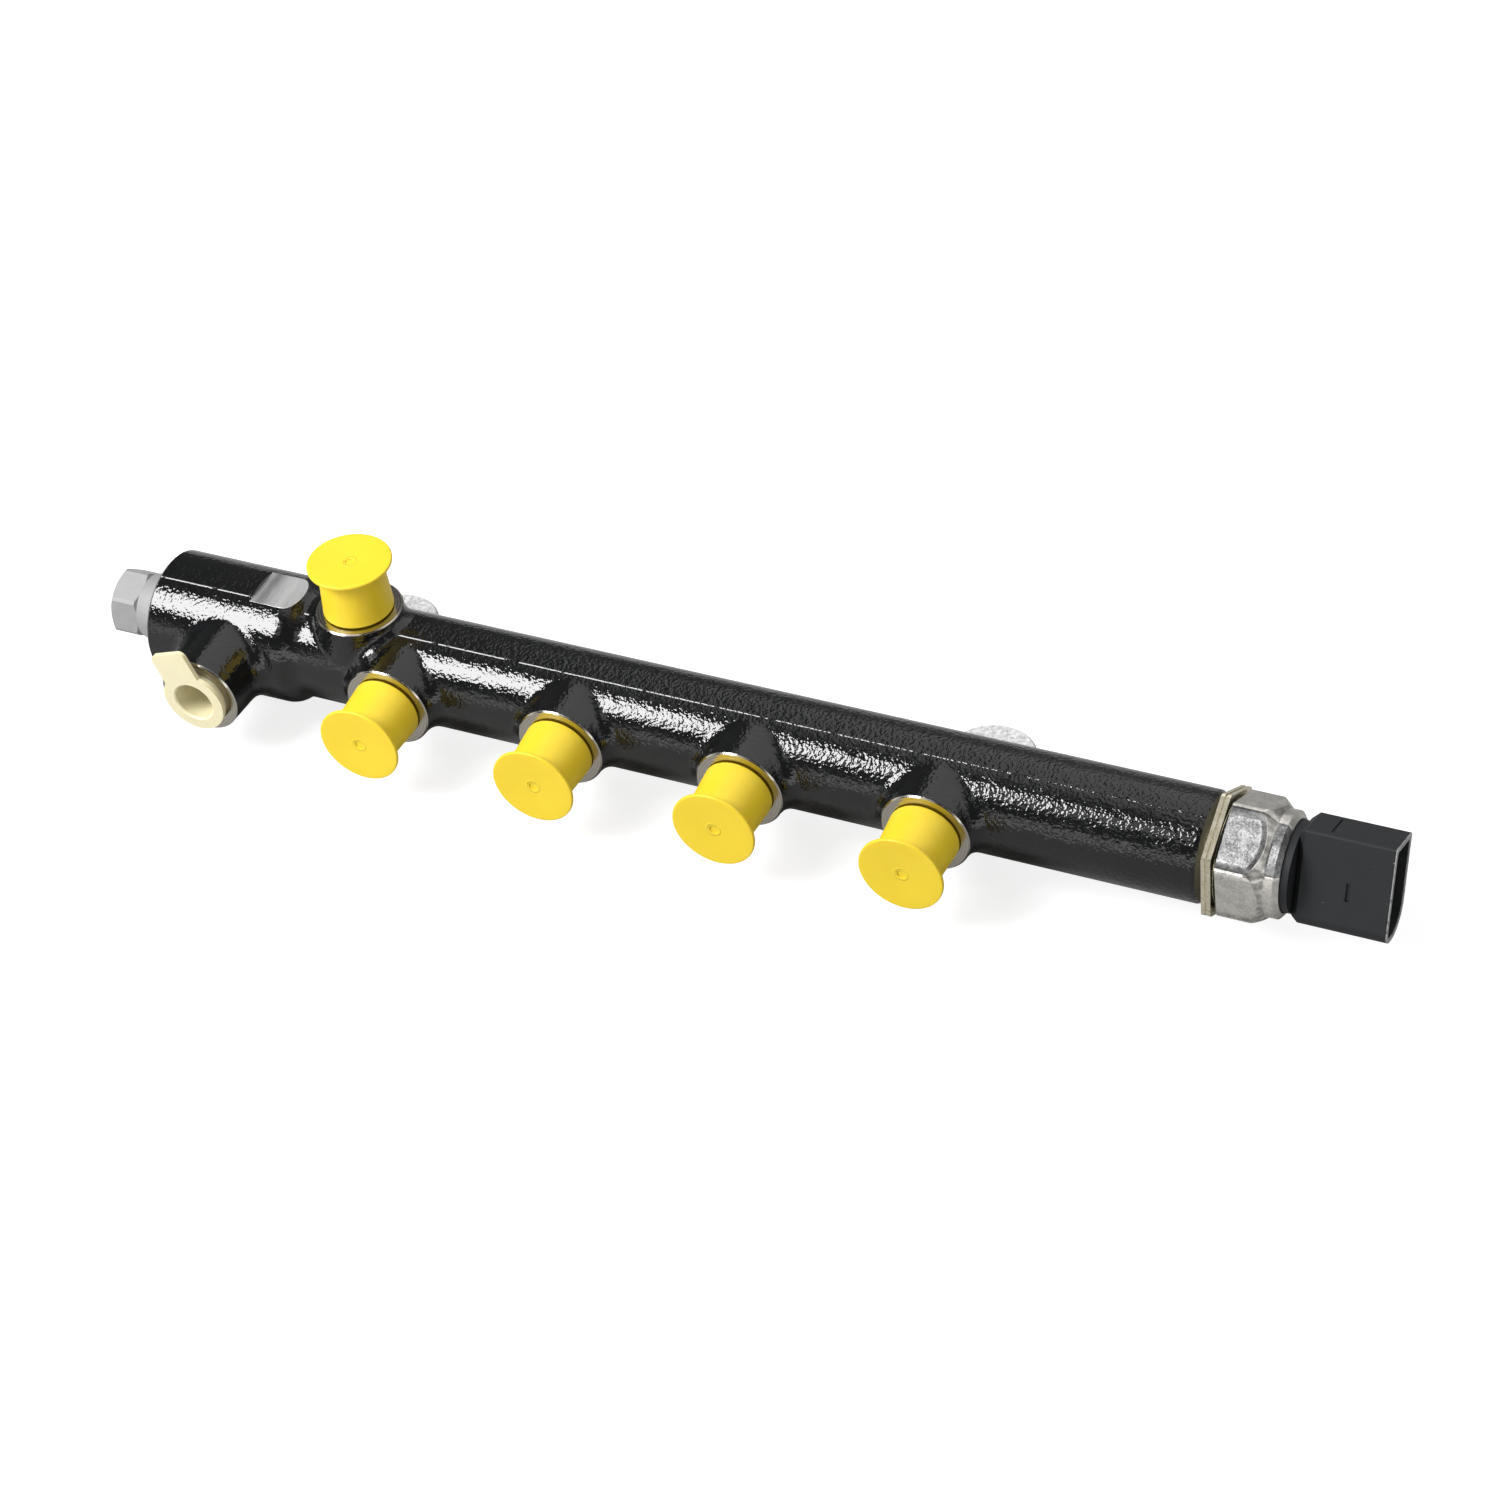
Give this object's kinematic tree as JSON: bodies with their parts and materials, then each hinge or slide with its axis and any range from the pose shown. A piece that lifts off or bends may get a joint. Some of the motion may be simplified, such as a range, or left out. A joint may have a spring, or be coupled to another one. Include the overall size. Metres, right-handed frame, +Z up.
{
  "type": "fuel rail",
  "caption": "Forged common-rail fuel rail with capped outlets along its front, a top inlet, a relief valve and return port in its head, and a pressure sensor at its tail.",
  "frame": {"origin": "midway between the two bolt holes, on the seat of the mounting lugs", "axes": "+X along the rail towards the pressure sensor, +Z up the bolt holes and the inlet port, -Y the way the outlets point"},
  "size_m": [0.3392, 0.0623, 0.0509],
  "materials": {
    "rail_paint": "gloss black paint over forged steel, machined faces left bare",
    "cap_plastic": "soft yellow moulded polyethylene",
    "plug_plastic": "ivory moulded polyethylene",
    "valve_steel": "turned steel, plain",
    "hardened_steel": "ground hardened steel",
    "spring_steel": "drawn spring wire",
    "seal_rubber": "moulded fluoro rubber",
    "port_steel": "pale gold passivated zinc over turned steel",
    "shell_nickel": "drawn steel with dull nickel",
    "cell_steel": "ground stainless steel",
    "carrier_plastic": "moulded dark plastic",
    "board_laminate": "green laminate",
    "connector_plastic": "moulded glass-filled nylon, fine matt texture",
    "contact_brass": "stamped brass blade"
  },
  "bodies": {
    "rail": {"rail_body": "rail_paint", "inlet_cap": "cap_plastic", "outlet_cap_1": "cap_plastic", "outlet_cap_2": "cap_plastic", "outlet_cap_3": "cap_plastic", "outlet_cap_4": "cap_plastic", "return_port_plug": "plug_plastic", "relief_valve_body": "valve_steel", "relief_valve_o_ring": "seal_rubber", "relief_valve_seat": "hardened_steel", "relief_valve_spring": "spring_steel", "relief_valve_shim": "hardened_steel", "sensor_port": "port_steel", "sensor_pressure_cell": "cell_steel", "sensor_shell": "shell_nickel", "sensor_board_carrier": "carrier_plastic", "sensor_circuit_board": "board_laminate", "sensor_seal_ring": "seal_rubber", "sensor_connector": "connector_plastic", "sensor_contact_pin_1": "contact_brass", "sensor_contact_pin_2": "contact_brass", "sensor_contact_pin_3": "contact_brass"},
    "relief_piston": {"relief_valve_piston": "hardened_steel"}
  },
  "joints": [
    {"name": "relief_piston_slide", "type": "slide", "parent": "rail", "child": "relief_piston", "axis": [-1, 0, 0], "range_m": [0, 0.00115], "stiffness_N_per_m": 100, "springref_m": -0.0005, "deforming": ["relief_valve_spring"]}
  ]
}
